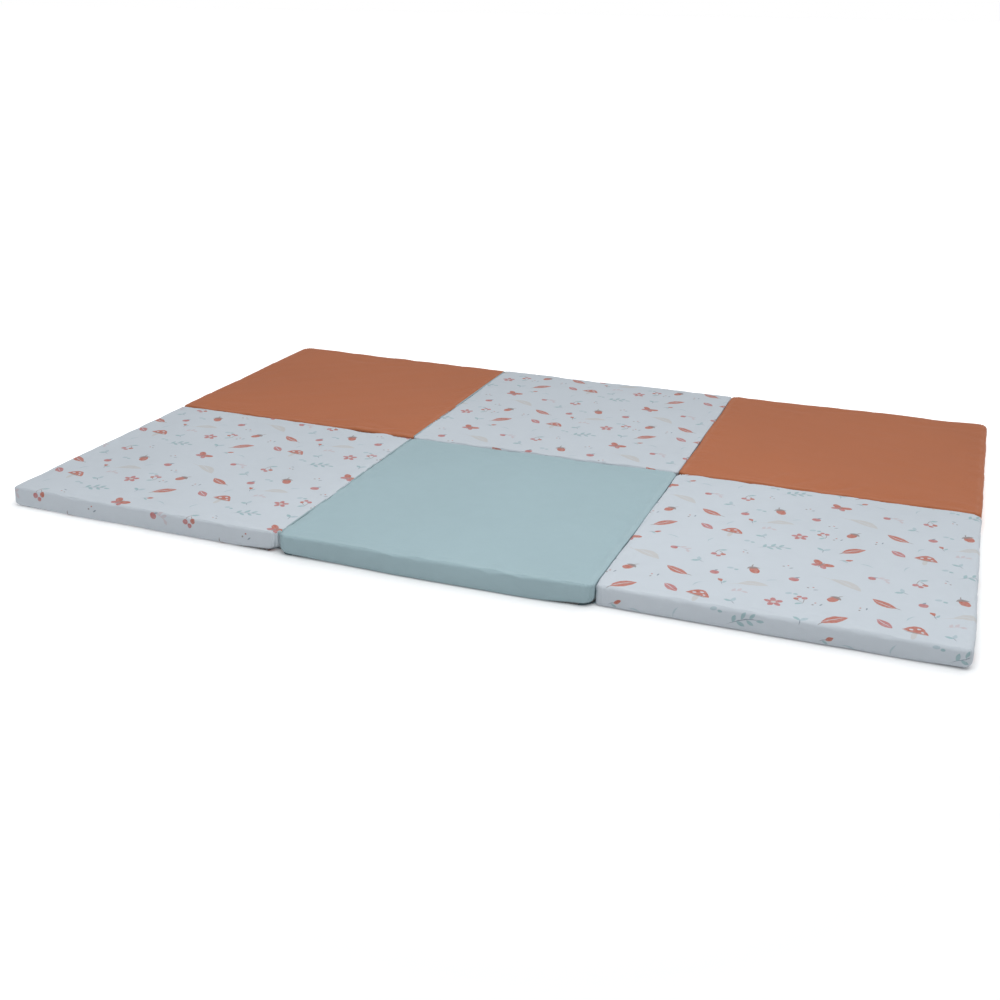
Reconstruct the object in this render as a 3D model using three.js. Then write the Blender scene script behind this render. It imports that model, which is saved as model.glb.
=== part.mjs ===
// A folding nursery play mat: six square foam panels in two rows of three, each in a tight sewn cloth cover, joined
// by five narrow cloth hinges. It lies open on the floor. Millimetres, +Z up, +X along the row of three and +Y from
// the front row to the back row. The origin is under the middle of the mat, on the floor.
import * as THREE from "three";

// Driving sizes
const PANEL_SIDE = 600; // from seam to seam
const PANEL_THICKNESS = 40;
const PANEL_GAP = 0.5; // between the covers of two neighbours
const BOTTOM_ROUND = 10; // radius of a cover's lower edge
const SIDE_BULGE = 1.2; // how far a side stands out at half its height
const CROWN_BAND = 70; // width of the rim over which the top falls away
const CROWN_FALL = 1.2;
const HINGE_THICKNESS = 1.2;
const HINGE_CLEARANCE = 0.3; // between a hinge and the covers that it joins
const SMALLEST_CORNER = 1.5;

// Radius of a cover's upper edge, by what lies beyond it: the floor, a hinge sewn to the upper edges, a hinge sewn
// to the lower edges, or a neighbour that it only touches
const TOP_ROUND = { free: 7, hingedAbove: 4, hingedBelow: 6, touching: 4 };

// Plan radius of a cover's upright corner, by where it stands
const CORNER = { outer: 22, notch: 18, inner: 10, sewn: 4 };

const EDGE_STEPS = 4; // along one side of a panel
const CORNER_STEPS = 4; // round one upright corner
const TOP_ARC_STEPS = 3;
const BOTTOM_ARC_STEPS = 2;

// The panels as they lie. front and back are the two cross edges' distances from the nominal front line, at the
// panel's west and east ends, because the rows don't lie quite straight.
const PANELS = [
  {
    name: "panel_left_front",
    column: 0,
    cloth: "printed",
    front: [5, -4],
    back: [604, 597],
    edges: { south: "free", east: "hingedAbove", north: "touching", west: "free" },
    corners: { southWest: "outer", southEast: "notch", northEast: "sewn", northWest: "sewn" },
  },
  {
    name: "panel_left_back",
    column: 0,
    cloth: "terracotta",
    front: [604, 597],
    back: [1208, 1201],
    edges: { south: "touching", east: "hingedAbove", north: "free", west: "free" },
    corners: { southWest: "sewn", southEast: "sewn", northEast: "sewn", northWest: "outer" },
  },
  {
    name: "panel_mid_front",
    column: 1,
    cloth: "sage",
    front: [-5, -11],
    back: [597, 604],
    edges: { south: "free", east: "hingedBelow", north: "touching", west: "hingedAbove" },
    corners: { southWest: "notch", southEast: "outer", northEast: "inner", northWest: "sewn" },
  },
  {
    name: "panel_mid_back",
    column: 1,
    cloth: "printed",
    front: [597, 604],
    back: [1203, 1203],
    edges: { south: "touching", east: "hingedBelow", north: "free", west: "hingedAbove" },
    corners: { southWest: "sewn", southEast: "sewn", northEast: "sewn", northWest: "sewn" },
  },
  {
    name: "panel_right_front",
    column: 2,
    cloth: "printed",
    front: [3, 3],
    back: [604, 598],
    edges: { south: "free", east: "free", north: "touching", west: "hingedBelow" },
    corners: { southWest: "outer", southEast: "outer", northEast: "notch", northWest: "inner" },
  },
  {
    name: "panel_right_back",
    column: 2,
    cloth: "terracotta",
    front: [604, 598],
    back: [1209, 1214],
    edges: { south: "touching", east: "free", north: "free", west: "hingedBelow" },
    corners: { southWest: "sewn", southEast: "inner", northEast: "outer", northWest: "outer" },
  },
];

const SIDES = ["south", "east", "north", "west"];
const CORNER_AFTER = { south: "southEast", east: "northEast", north: "northWest", west: "southWest" };
const panelNamed = (name) => PANELS.find((panel) => panel.name === name);
const lerp = THREE.MathUtils.lerp;

const cloths = {
  printed: new THREE.MeshStandardMaterial({ color: 0xd3dae2, roughness: 0.85 }),
  terracotta: new THREE.MeshStandardMaterial({ color: 0xb3714f, roughness: 0.85 }),
  sage: new THREE.MeshStandardMaterial({ color: 0xa4bcc1, roughness: 0.85 }),
  hinge: new THREE.MeshStandardMaterial({ color: 0x8c979a, roughness: 0.9 }),
};

// The edge profile of a side, from the top's flat middle to the underside: how far inside the seam line each step
// lies, and its height.
function sideProfile(topRound) {
  const steps = [{ inset: SIDE_BULGE + topRound + CROWN_BAND, z: PANEL_THICKNESS }];
  const shoulder = PANEL_THICKNESS - CROWN_FALL;
  for (let i = 0; i <= TOP_ARC_STEPS; i++) {
    const angle = ((Math.PI / 2) * i) / TOP_ARC_STEPS;
    steps.push({
      inset: SIDE_BULGE + topRound * (1 - Math.sin(angle)),
      z: shoulder - topRound * (1 - Math.cos(angle)),
    });
  }
  steps.push({ inset: 0, z: PANEL_THICKNESS / 2 });
  for (let i = BOTTOM_ARC_STEPS; i >= 0; i--) {
    const angle = ((Math.PI / 2) * i) / BOTTOM_ARC_STEPS;
    steps.push({
      inset: SIDE_BULGE + BOTTOM_ROUND * (1 - Math.sin(angle)),
      z: BOTTOM_ROUND * (1 - Math.cos(angle)),
    });
  }
  return steps;
}

// One closed ring of a panel at one step of its profile, anticlockwise from the south-west corner's end, on a
// square that is centred on the origin.
function ringOf(panel, profiles, step) {
  const half = (PANEL_SIDE - PANEL_GAP) / 2;
  const at = Object.fromEntries(SIDES.map((side) => [side, profiles[side][step]]));
  const bounds = {
    south: -half + at.south.inset,
    east: half - at.east.inset,
    north: half - at.north.inset,
    west: -half + at.west.inset,
  };
  const radiusAfter = (side) => {
    const next = SIDES[(SIDES.indexOf(side) + 1) % SIDES.length];
    const plan = CORNER[panel.corners[CORNER_AFTER[side]]];
    return Math.max(plan - (at[side].inset + at[next].inset) / 2, SMALLEST_CORNER);
  };
  const points = [];
  SIDES.forEach((side, i) => {
    const along = new THREE.Vector2(1, 0).rotateAround(new THREE.Vector2(), (i * Math.PI) / 2);
    const next = SIDES[(i + 1) % SIDES.length];
    const before = radiusAfter(SIDES[(i + SIDES.length - 1) % SIDES.length]);
    const after = radiusAfter(side);
    const corner = (a, b) =>
      new THREE.Vector2(
        i % 2 === 0 ? bounds[b] : bounds[a],
        i % 2 === 0 ? bounds[a] : bounds[b],
      );
    const start = corner(side, SIDES[(i + SIDES.length - 1) % SIDES.length]).addScaledVector(along, before);
    const end = corner(side, next).addScaledVector(along, -after);
    for (let k = 0; k < EDGE_STEPS; k++) {
      const p = start.clone().lerp(end, k / EDGE_STEPS);
      points.push(new THREE.Vector3(p.x, p.y, at[side].z));
    }
    const inward = along.clone().rotateAround(new THREE.Vector2(), Math.PI / 2);
    const centre = end.clone().addScaledVector(inward, after);
    for (let k = 0; k < CORNER_STEPS; k++) {
      const turn = ((Math.PI / 2) * k) / CORNER_STEPS;
      const arm = inward.clone().negate().rotateAround(new THREE.Vector2(), turn).multiplyScalar(after);
      points.push(
        new THREE.Vector3(centre.x + arm.x, centre.y + arm.y, lerp(at[side].z, at[next].z, k / CORNER_STEPS)),
      );
    }
  });
  return points;
}

// A cover over its foam as one closed solid: the rings, drawn out to where the panel's edges lie, joined from the
// top's middle to the underside's middle.
function paddedPanel(panel) {
  const profiles = Object.fromEntries(SIDES.map((side) => [side, sideProfile(TOP_ROUND[panel.edges[side]])]));
  const rings = profiles.south.map((_, step) => ringOf(panel, profiles, step));
  const place = ({ x, y, z }) => {
    const across = x / PANEL_SIDE + 0.5;
    const front = lerp(panel.front[0], panel.front[1], across);
    const back = lerp(panel.back[0], panel.back[1], across);
    return [(panel.column + 0.5) * PANEL_SIDE + x, lerp(front, back, y / PANEL_SIDE + 0.5), z];
  };
  const size = rings[0].length;
  const positions = rings.flat().flatMap(place);
  const index = [];
  for (let ring = 0; ring + 1 < rings.length; ring++) {
    for (let k = 0; k < size; k++) {
      const upper = ring * size + k;
      const upperNext = ring * size + ((k + 1) % size);
      index.push(upper, upper + size, upperNext, upperNext, upper + size, upperNext + size);
    }
  }
  const topMiddle = positions.length / 3;
  positions.push(...place({ x: 0, y: 0, z: PANEL_THICKNESS }), ...place({ x: 0, y: 0, z: 0 }));
  const underside = (rings.length - 1) * size;
  for (let k = 0; k < size; k++) {
    const next = (k + 1) % size;
    index.push(topMiddle, k, next);
    index.push(topMiddle + 1, underside + next, underside + k);
  }
  const geometry = new THREE.BufferGeometry();
  geometry.setAttribute("position", new THREE.Float32BufferAttribute(positions, 3));
  geometry.setIndex(index);
  geometry.computeVertexNormals();
  return geometry;
}

// Half the width of the groove between two rounded edges of one radius, at a depth below where the rounding starts
function grooveHalfWidth(radius, depth) {
  return SIDE_BULGE + PANEL_GAP / 2 + radius - Math.sqrt(radius ** 2 - (radius - depth) ** 2);
}

// Where the hinges run. A column seam has one for each row; the row seam has one under the left column only, so that
// the mat folds up by columns first and then in half.
const HINGES = [
  { name: "hinge_left_front", between: ["panel_left_front", "panel_mid_front"], sewn: "above" },
  { name: "hinge_left_back", between: ["panel_left_back", "panel_mid_back"], sewn: "above" },
  { name: "hinge_right_front", between: ["panel_mid_front", "panel_right_front"], sewn: "below" },
  { name: "hinge_right_back", between: ["panel_mid_back", "panel_right_back"], sewn: "below" },
  { name: "hinge_rows_left", between: ["panel_left_front", "panel_left_back"], sewn: "below" },
];
const HINGE_END = 9; // from a hinge's end to the panels' ends

// A hinge as a flat strip of doubled cloth that lies in the groove between two rounded edges
function hingeMesh({ name, between, sewn }) {
  const [first, second] = between.map(panelNamed);
  const alongRow = first.column === second.column;
  const radius = sewn === "above" ? TOP_ROUND.hingedAbove : BOTTOM_ROUND;
  const halfWidth = grooveHalfWidth(radius, HINGE_THICKNESS) - HINGE_CLEARANCE;
  const start = alongRow ? 0 : Math.max(first.front[1], second.front[0]);
  const end = alongRow ? PANEL_SIDE : Math.min(first.back[1], second.back[0]);
  const length = end - start - 2 * HINGE_END;
  const mesh = new THREE.Mesh(new THREE.BoxGeometry(2 * halfWidth, length, HINGE_THICKNESS), cloths.hinge);
  mesh.name = name;
  if (alongRow) {
    const [west, east] = first.back;
    mesh.rotation.z = Math.atan2(east - west, PANEL_SIDE) - Math.PI / 2;
    mesh.position.set(PANEL_SIDE / 2, (west + east) / 2, 0);
  } else {
    mesh.position.set(second.column * PANEL_SIDE, (start + end) / 2, 0);
  }
  mesh.position.z = sewn === "above" ? PANEL_THICKNESS - CROWN_FALL - HINGE_THICKNESS / 2 : HINGE_THICKNESS / 2;
  return mesh;
}

const mat = new THREE.Group();
for (const panel of PANELS) {
  const mesh = new THREE.Mesh(paddedPanel(panel), cloths[panel.cloth]);
  mesh.name = panel.name;
  mat.add(mesh);
}
for (const hinge of HINGES) mat.add(hingeMesh(hinge));

// The floor under the middle of the whole mat becomes the origin.
const middle = new THREE.Box3().setFromObject(mat).getCenter(new THREE.Vector3());
mat.position.set(-middle.x, -middle.y, 0);

export default mat;
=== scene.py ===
import math

import bpy
import numpy as np
from mathutils import Matrix, Vector


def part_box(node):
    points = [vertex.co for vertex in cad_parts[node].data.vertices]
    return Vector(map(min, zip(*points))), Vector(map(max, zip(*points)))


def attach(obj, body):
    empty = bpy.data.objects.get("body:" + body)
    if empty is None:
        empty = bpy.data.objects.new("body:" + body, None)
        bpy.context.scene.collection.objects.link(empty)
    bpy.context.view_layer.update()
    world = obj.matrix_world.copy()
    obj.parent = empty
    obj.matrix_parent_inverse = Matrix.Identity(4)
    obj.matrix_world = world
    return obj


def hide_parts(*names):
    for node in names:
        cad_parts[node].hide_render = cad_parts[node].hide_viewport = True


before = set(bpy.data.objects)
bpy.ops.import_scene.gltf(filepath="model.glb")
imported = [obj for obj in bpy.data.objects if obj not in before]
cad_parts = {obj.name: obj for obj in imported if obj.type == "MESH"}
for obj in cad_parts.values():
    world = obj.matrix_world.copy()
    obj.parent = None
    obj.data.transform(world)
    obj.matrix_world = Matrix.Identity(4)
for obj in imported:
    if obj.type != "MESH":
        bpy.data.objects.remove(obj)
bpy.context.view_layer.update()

# Sizes in metres, as in the CAD source
PANEL_SIDE = 0.600
PANEL_THICKNESS = 0.040
PANEL_GAP = 0.0005
FRONT_LINE = -0.60152  # where the nominal front line lies, seen from the middle of the mat
EDGE_ROUND = 0.0055  # middle radius of a cover's upper edges
SIDE_BULGE = 0.0012
CROWN_FALL = 0.0013
FOOT_ROUND = 0.006
RIM_REACH = 0.06  # how far back from the front edge its own thickness carries
SHOULDER = PANEL_THICKNESS - CROWN_FALL
HALF = (PANEL_SIDE - PANEL_GAP) / 2
REACH = HALF - EDGE_ROUND  # where the top's grid of threads ends and the sides begin
ROUND_ROWS, STRAIGHT_ROWS = 5, 6  # rows of threads round an edge and down a side
# Spacing of a cover's threads in the mesh: how far from the edge each band ends, and its cell
SPACING = [(0.040, 0.0062), (0.010, 0.002), (0.0, 0.001)]
SETTLING_SPACING = [(0.040, 0.0115), (0.0, 0.004)]
SETTLING_FRAMES, SETTLING_LIMIT = 20, 0.0009
FOAM_HOLD, CLOTH_EASE = 1.5, 0.0009  # how stiffly the foam holds its cover, and the share of spare cloth

SIDES = ("south", "east", "north", "west")
CORNERS = ("south_east", "north_east", "north_west", "south_west")  # the corner after each side
ALONG = {"south": (1, 0), "east": (0, 1), "north": (-1, 0), "west": (0, -1)}
OUT = {"south": (0, -1), "east": (1, 0), "north": (0, 1), "west": (-1, 0)}

# The panels as they lie. front and back are their cross edges' distances from the nominal front line, at
# the west and east ends. bow is how far the front edge's foot comes forward between them, its top half as
# far. rim is how much thicker the foam is along that edge, and lift how far a corner stands off the floor.
# top gives the radii of the upper edges in the order of SIDES, floor those of the lower edges at the CORNERS
# and plan those of the outline there. rim, lift and the radii are in millimetres. roll is the panel's place
# on the roll of printed cloth.
PANELS = [
    dict(name="panel_left_front", column=0, cloth="printed", roll=(0.118, -0.031), seed=3,
         front=(0.004, -0.0055), back=(0.604, 0.597), rim=(1.0, 1.4), lift=dict(south_east=8),
         top=(4.5, 2.3, 4, 5), floor=(17, 9, 9, 10), plan=(19, 8, 8, 13)),
    dict(name="panel_left_back", column=0, cloth="terracotta", roll=(0, 0), seed=5,
         front=(0.604, 0.597), back=(1.208, 1.201),
         top=(4, 2.3, 6, 6), floor=(9, 9, 12, 9), plan=(9, 9, 22, 8)),
    dict(name="panel_mid_front", column=1, cloth="sage", roll=(0, 0), seed=8,
         front=(-0.007, -0.007), back=(0.597, 0.604), bow=0.007, rim=(0.5, 2.2),
         lift=dict(south_east=3, south_west=1.5),
         top=(5, 3, 4.5, 2.4), floor=(16, 9, 9, 12), plan=(18, 14, 9, 17)),
    dict(name="panel_mid_back", column=1, cloth="printed", roll=(-0.074, 0.166), seed=13,
         front=(0.597, 0.604), back=(1.203, 1.203),
         top=(4, 3.2, 5, 2.4), floor=(9, 9, 9, 9), plan=(10, 8, 8, 8)),
    dict(name="panel_right_front", column=2, cloth="printed", roll=(0.021, 0.048), seed=21,
         front=(0.005, 0.003), back=(0.604, 0.598), rim=(-0.5, -4.2),
         top=(6.5, 6, 4.5, 3.5), floor=(12, 9, 9, 6), plan=(13, 22, 27, 9)),
    dict(name="panel_right_back", column=2, cloth="terracotta", roll=(0, 0), seed=34,
         front=(0.604, 0.598), back=(1.209, 1.214),
         top=(4.5, 6, 6, 4), floor=(9, 12, 10, 9), plan=(10, 21, 22, 14)),
]

# Creases that stand or sink on the panels' tops, in millimetres from each panel's middle: place, heading in
# degrees, length, width and height. Each is a soft ridge or trough with a shallow hollow or swell beside it.
CREASES = {
    "panel_left_front": [
        (186, 296, 4, 66, 17, -2.6), (232, 292, -4, 46, 13, 1.2), (272, 294, -6, 42, 15, -2.4),
        (60, 284, 2, 90, 14, 0.7), (-120, 282, 4, 110, 16, -0.8), (-216, -286, 3, 70, 12, 0.5),
        (-284, -60, 88, 300, 13, 0.6), (120, -283, -2, 180, 13, 0.5), (284, 90, 91, 260, 12, 0.5),
    ],
    "panel_left_back": [
        (96, -262, 24, 70, 13, 0.9), (188, -249, -14, 80, 15, -0.9), (232, -274, 30, 46, 11, 1.0),
        (-92, 231, -5, 84, 17, -1.1), (15, 222, 6, 60, 14, -0.8), (266, 95, 72, 60, 14, -0.9),
        (270, -43, 104, 66, 14, 0.8), (-188, -223, 10, 110, 18, -0.9), (-236, 40, 84, 190, 20, 0.7),
        (182, -292, 4, 84, 13, 1.9), (274, -294, -4, 50, 13, 1.7), (284, 150, 90, 240, 12, 0.7),
    ],
    "panel_mid_front": [
        (291, 20, 90, 545, 8, 1.4), (274, 0, 91, 500, 15, -1.3), (236, -262, 52, 84, 18, 0.9),
        (250, 280, -8, 70, 13, -1.5), (205, 284, 5, 56, 12, 0.9), (-60, 283, 1, 210, 14, 0.5),
        (-283, -230, 86, 110, 12, 0.8), (-262, -268, 40, 60, 13, -0.8), (30, -284, -1, 330, 12, 0.5),
        (-285, 90, 91, 330, 11, 0.5),
    ],
    "panel_mid_back": [
        (286, -190, 92, 150, 12, 0.9), (284, 120, 88, 260, 12, 0.7), (262, -40, 90, 300, 20, -0.6),
        (-40, 268, 3, 190, 17, -0.8), (190, 282, -2, 150, 13, 0.6), (150, -283, 2, 170, 13, 0.7),
        (-285, -40, 90, 300, 11, 0.5),
    ],
    "panel_right_front": [
        (-286, -60, 90, 380, 12, 0.9), (-264, -20, 92, 330, 19, -0.7), (287, 40, 90, 430, 11, 0.8),
        (269, -30, 89, 360, 16, -0.7), (-70, 284, 1, 220, 13, 0.6), (160, 281, -5, 150, 14, -0.8),
        (-110, -285, 1, 220, 12, 0.5), (170, -284, 0, 190, 12, 0.6), (262, -272, -38, 54, 12, 0.8),
        (-262, 258, -40, 66, 14, -0.7),
    ],
    "panel_right_back": [
        (-96, -252, 62, 66, 13, 1.6), (-58, -262, 48, 58, 12, -1.8), (-16, -258, 70, 74, 13, 1.8),
        (22, -264, 40, 52, 12, -1.6), (60, -254, 58, 60, 14, 1.3), (160, -268, 8, 80, 14, -1.0),
        (236, -262, -6, 90, 15, 1.1), (-150, 240, -4, 110, 18, -1.1), (-60, 262, 5, 120, 15, -0.8),
        (180, 236, 2, 130, 18, -1.0), (286, 20, 90, 470, 11, 1.1), (266, 0, 90, 420, 18, -0.9),
        (-284, 40, 90, 380, 12, 0.8), (-180, -283, 1, 190, 12, 0.7),
    ],
}
# Where a side lies closest to its neighbour: at the edge that a hinge draws in, half way up or all the way up
DRAWN_IN = {
    "panel_left_front": dict(east="top", north="foot"),
    "panel_left_back": dict(east="top", south="foot"),
    "panel_mid_front": dict(west="top", east="flat", north="middle"),
    "panel_mid_back": dict(west="top", east="flat", south="middle"),
    "panel_right_front": dict(west="flat", north="middle"),
    "panel_right_back": dict(west="flat", south="middle"),
}
GATHER_PITCH = 11  # millimetres
PUCKER_PITCH, PUCKER_HEIGHT = 0.0072, 0.0008
SEAM_WIDTH, SEAM_DEPTH = 0.0013, 0.0010
# Stretches where a cover is gathered on its seam: side, from and to along it, and height, in mm
GATHERS = {
    "panel_left_front": [("north", -290, -215, 0.5), ("north", -120, -20, 0.4), ("east", -110, 30, 0.35)],
    "panel_left_back": [("south", 120, 290, 0.5), ("east", -200, -60, 0.4), ("south", -250, -120, 0.4)],
    "panel_mid_front": [("north", -290, -190, 0.5), ("north", 40, 150, 0.35), ("west", 160, 288, 0.5)],
    "panel_mid_back": [("south", -60, 90, 0.4), ("south", 210, 290, 0.5), ("west", -120, 60, 0.35)],
    "panel_right_front": [("north", -160, -20, 0.45), ("north", 60, 170, 0.35), ("west", -280, -180, 0.4)],
    "panel_right_back": [("south", -140, 110, 0.55), ("west", 20, 150, 0.4)],
}


def smooth(x):
    x = np.clip(x, 0.0, 1.0)
    return x * x * (3 - 2 * x)


# The covers


def thread_lines(spacing):
    """Places of a cover's threads across a panel, from one upper edge to the other."""
    half = [0.0]
    for stop, cell in spacing:
        end = REACH - stop
        half += list(np.linspace(half[-1], end, int(round((end - half[-1]) / cell)) + 1)[1:])
    half = np.array(half)
    return np.concatenate([-half[:0:-1], half])


LINES = thread_lines(SPACING)
SETTLING_LINES = thread_lines(SETTLING_SPACING)


def grid_faces(ids):
    """The quads of a grid of point numbers, facing up where its rows run along x and its columns along y."""
    return np.stack([ids[:-1, :-1], ids[1:, :-1], ids[1:, 1:], ids[:-1, 1:]], -1).reshape(-1, 4)


class Cover:
    """A panel's cover as a closed mesh on a square about its own middle: a grid of threads for the top, rings
    of them down the sides, and a grid below. Besides points and faces it holds the faces' places on the flat
    cut, the points' kinds and their runs along the cover to the nearest corner seam."""

    TOP, SIDE, UNDERSIDE = range(3)

    def __init__(self, panel, lines):
        self.panel, self.lines, self.cells = panel, lines, len(lines) - 1
        self.measure()
        self.lay_top()
        self.wrap_sides()
        self.close_below()
        self.flatten()

    def measure(self):
        """The radii along each side, from the panel's table."""
        panel = self.panel
        top = {side: radius / 1000 for side, radius in zip(SIDES, panel["top"])}
        corner_top = {CORNERS[i]: (top[SIDES[i]] + top[SIDES[(i + 1) % 4]]) / 2 for i in range(4)}
        floor = {c: radius / 1000 for c, radius in zip(CORNERS, panel["floor"])}
        plan = {c: max(radius / 1000, corner_top[c] + 0.002, EDGE_ROUND + 0.003)
                for c, radius in zip(CORNERS, panel["plan"])}
        self.sides = {}
        for i, side in enumerate(SIDES):
            radius = self.along_side(side, top[side], corner_top, 0.045)
            ripple = swell(self.lines[:, None], 0.05, panel["seed"] * 10 + i)
            radius = radius * (1 + 0.07 * ripple * smooth((REACH - abs(self.lines)) / 0.03))
            foot = self.along_side(side, FOOT_ROUND, floor, 0.11)
            before, after = plan[CORNERS[i - 1]], plan[CORNERS[i]]
            self.sides[side] = dict(radius=radius, foot=foot, before=before, after=after)

    def along_side(self, side, by_side, by_corner, spread):
        """A size that has its own value along a side and blends to the corners' values over `spread`."""
        i = SIDES.index(side)
        near_before = 1 - smooth((self.lines + REACH) / spread)
        near_after = 1 - smooth((REACH - self.lines) / spread)
        before, after = by_corner[CORNERS[i - 1]], by_corner[CORNERS[i]]
        return by_side + (before - by_side) * near_before + (after - by_side) * near_after

    def lay_top(self):
        n = self.cells
        across, back = np.meshgrid(self.lines, self.lines, indexing="ij")
        size = np.maximum(abs(across), abs(back))
        x, y = across.copy(), back.copy()
        for side in SIDES:
            a, o, s = ALONG[side], OUT[side], self.sides[side]
            t, d = across * a[0] + back * a[1], across * o[0] + back * o[1]
            radius = np.interp(t, self.lines, s["radius"])
            ring = size + (EDGE_ROUND - radius) * np.exp((size - REACH) / 0.02)
            along, out = bend_ring(t, size, ring, s["before"], s["after"])
            here = (d >= size - 1e-12) & (d > 0)
            x = np.where(here, along * a[0] + out * o[0], x)
            y = np.where(here, along * a[1] + out * o[1], y)
        z = SHOULDER + CROWN_FALL * (1 - np.exp((size - REACH) / 0.028))
        self.points = np.stack([x.ravel(), y.ravel(), z.ravel()], 1)
        self.runs = np.hypot(REACH - abs(across), REACH - abs(back)).ravel()
        self.top = np.arange((n + 1) ** 2).reshape(n + 1, n + 1)
        self.faces = grid_faces(self.top)
        self.cut = self.points[self.faces][:, :, :2]
        self.edge = dict(zip(SIDES, (self.top[:, 0], self.top[n], self.top[::-1, n], self.top[0, ::-1])))

    def profile(self, side):
        """A side's section from the upper edge's start to the underside, row by row: how far inside the
        panel's outline it lies, its height and the length of cloth from the start."""
        radius, foot = self.sides[side]["radius"], self.sides[side]["foot"]
        straight = SHOULDER - radius - foot
        rows = []
        for k in range(ROUND_ROWS + 1):
            a = math.pi / 2 * k / ROUND_ROWS
            rows.append((radius * (1 - math.sin(a)), SHOULDER - radius * (1 - math.cos(a)), radius * a))
        for k in range(1, STRAIGHT_ROWS + 1):
            down = straight * k / (STRAIGHT_ROWS + 1)
            rows.append((radius * 0, SHOULDER - radius - down, radius * math.pi / 2 + down))
        for k in range(ROUND_ROWS, -1, -1):
            a = math.pi / 2 * k / ROUND_ROWS
            length = radius * math.pi / 2 + straight + foot * (math.pi / 2 - a)
            rows.append((foot * (1 - math.sin(a)), foot * (1 - math.cos(a)), length))
        return rows

    def wrap_sides(self):
        n = self.cells
        draw = DRAWN_IN[self.panel["name"]]
        profiles = {side: self.profile(side) for side in SIDES}
        self.lengths = {side: [row[2] for row in profiles[side]] for side in SIDES}
        count = len(self.lengths["south"])
        self.rings = {side: np.empty((count, n + 1), int) for side in SIDES}
        added = []
        for i, side in enumerate(SIDES):
            self.rings[side][0] = self.edge[side]
            s, a, o = self.sides[side], ALONG[side], OUT[side]
            for row in range(1, count):
                inset, z, _ = profiles[side][row]
                lean = z / PANEL_THICKNESS * 2 - 1
                held = (draw.get(side) == "top") & (lean > 0) | (draw.get(side) == "foot") & (lean < 0)
                held |= draw.get(side) == "flat"
                inset = inset + np.where(held, 0, SIDE_BULGE * lean**2)
                along, out = bend_ring(self.lines, REACH, HALF - inset, s["before"], s["after"])
                first = len(self.points) + ((row - 1) * 4 + i) * n
                self.rings[side][row, :n] = first + np.arange(n)
                places = along * a[0] + out * o[0], along * a[1] + out * o[1], z
                added.append((row, i, np.stack(places, 1)[:n]))
        for i, side in enumerate(SIDES):
            self.rings[side][1:, n] = self.rings[SIDES[(i + 1) % 4]][1:, 0]
        added.sort(key=lambda part: part[:2])
        self.points = np.concatenate([self.points] + [part[2] for part in added])
        self.faces = np.concatenate([self.faces] + [grid_faces(self.rings[side]) for side in SIDES])

    def close_below(self):
        """The underside, a grid whose border is the lowest ring."""
        n = self.cells
        base = len(self.points)
        self.below = np.empty((n + 1) ** 2, int)
        for side in SIDES:
            self.below[self.edge[side]] = self.rings[side][-1]
        self.below = self.below.reshape(n + 1, n + 1)
        self.below[1:n, 1:n] = base + np.arange((n - 1) ** 2).reshape(n - 1, n - 1)
        drawn_in = (HALF - FOOT_ROUND) / REACH
        inner = self.points[self.top[1:n, 1:n].ravel()] * (drawn_in, drawn_in, 0)
        counts = [self.top.size, base - self.top.size, len(inner)]
        self.kinds = np.repeat([self.TOP, self.SIDE, self.UNDERSIDE], counts)
        self.points = np.concatenate([self.points, inner])
        self.faces = np.concatenate([self.faces, grid_faces(self.below)[:, ::-1]])

    def flatten(self):
        """The sides' and the underside's places on the flat cut. The sides' cloth runs on from the top's."""
        self.runs = np.concatenate([self.runs, np.full(len(self.points) - len(self.runs), 1.0)])
        parts = [self.cut]
        for side in SIDES:
            s, a, o = self.sides[side], np.array(ALONG[side], float), np.array(OUT[side], float)
            flat, run = self.lines.copy(), np.full(len(self.lines), 1.0)
            for sign, radius in ((-1, s["before"]), (1, s["after"])):
                begin = HALF - radius
                corner = begin + radius * math.pi / 4
                past = self.lines * sign - begin
                flat = np.where(past > 0, sign * (begin + (corner - begin) * past / (REACH - begin)), flat)
                run = np.minimum(run, corner - flat * sign)
            self.runs[self.rings[side][1:]] = run
            start = self.points[self.edge[side], :2]
            places = np.empty((*self.rings[side].shape, 2))
            for row, length in enumerate(self.lengths[side]):
                length = length[:, None]
                straight = flat[:, None] * a + (REACH + length) * o
                share = smooth(length / 0.012)
                places[row] = (start + length * o) * (1 - share) + straight * share
            quads = grid_faces(np.arange(places[:, :, 0].size).reshape(places.shape[:2]))
            parts.append(places.reshape(-1, 2)[quads])
        under = self.points[grid_faces(self.below)[:, ::-1]][:, :, :2]
        parts.append(under * (1, -1) + (0.19, 0.11))
        self.cut = np.concatenate(parts)


def bend_ring(t, size, ring, before, after):
    """The places along and out of a side for ring `size` of the square grid, whose outline really lies at
    `ring`, with the plan's corners rounded by the radii before and after."""
    t, size, ring = np.broadcast_arrays(*(np.asarray(values, float) for values in (t, size, ring)))
    along, out = t.copy(), ring.copy()
    for sign, radius in ((-1, before), (1, after)):
        start = HALF - radius
        past = t * sign - start
        full = np.maximum(size - start, 1e-9)
        turn = math.pi / 4 * np.clip(past / full, 0, 1)
        arm = ring - start
        here = (past > 0) & (size > start)
        along = np.where(here, sign * (start + arm * np.sin(turn)), along)
        out = np.where(here, start + arm * np.cos(turn), out)
    return along, out


def swell(places, length, seed):
    """Soft uneven waves over the places, of about the given length, mostly between -1 and 1."""
    draw = np.random.default_rng(seed)
    places = np.atleast_2d(places)
    total = np.zeros(len(places))
    for _ in range(7):
        heading = draw.normal(size=places.shape[1])
        heading /= np.linalg.norm(heading)
        pitch = length * draw.uniform(0.7, 1.4)
        total += np.sin(places @ heading * (2 * math.pi / pitch) + draw.uniform(0, 2 * math.pi))
    return total / 3.2


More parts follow.
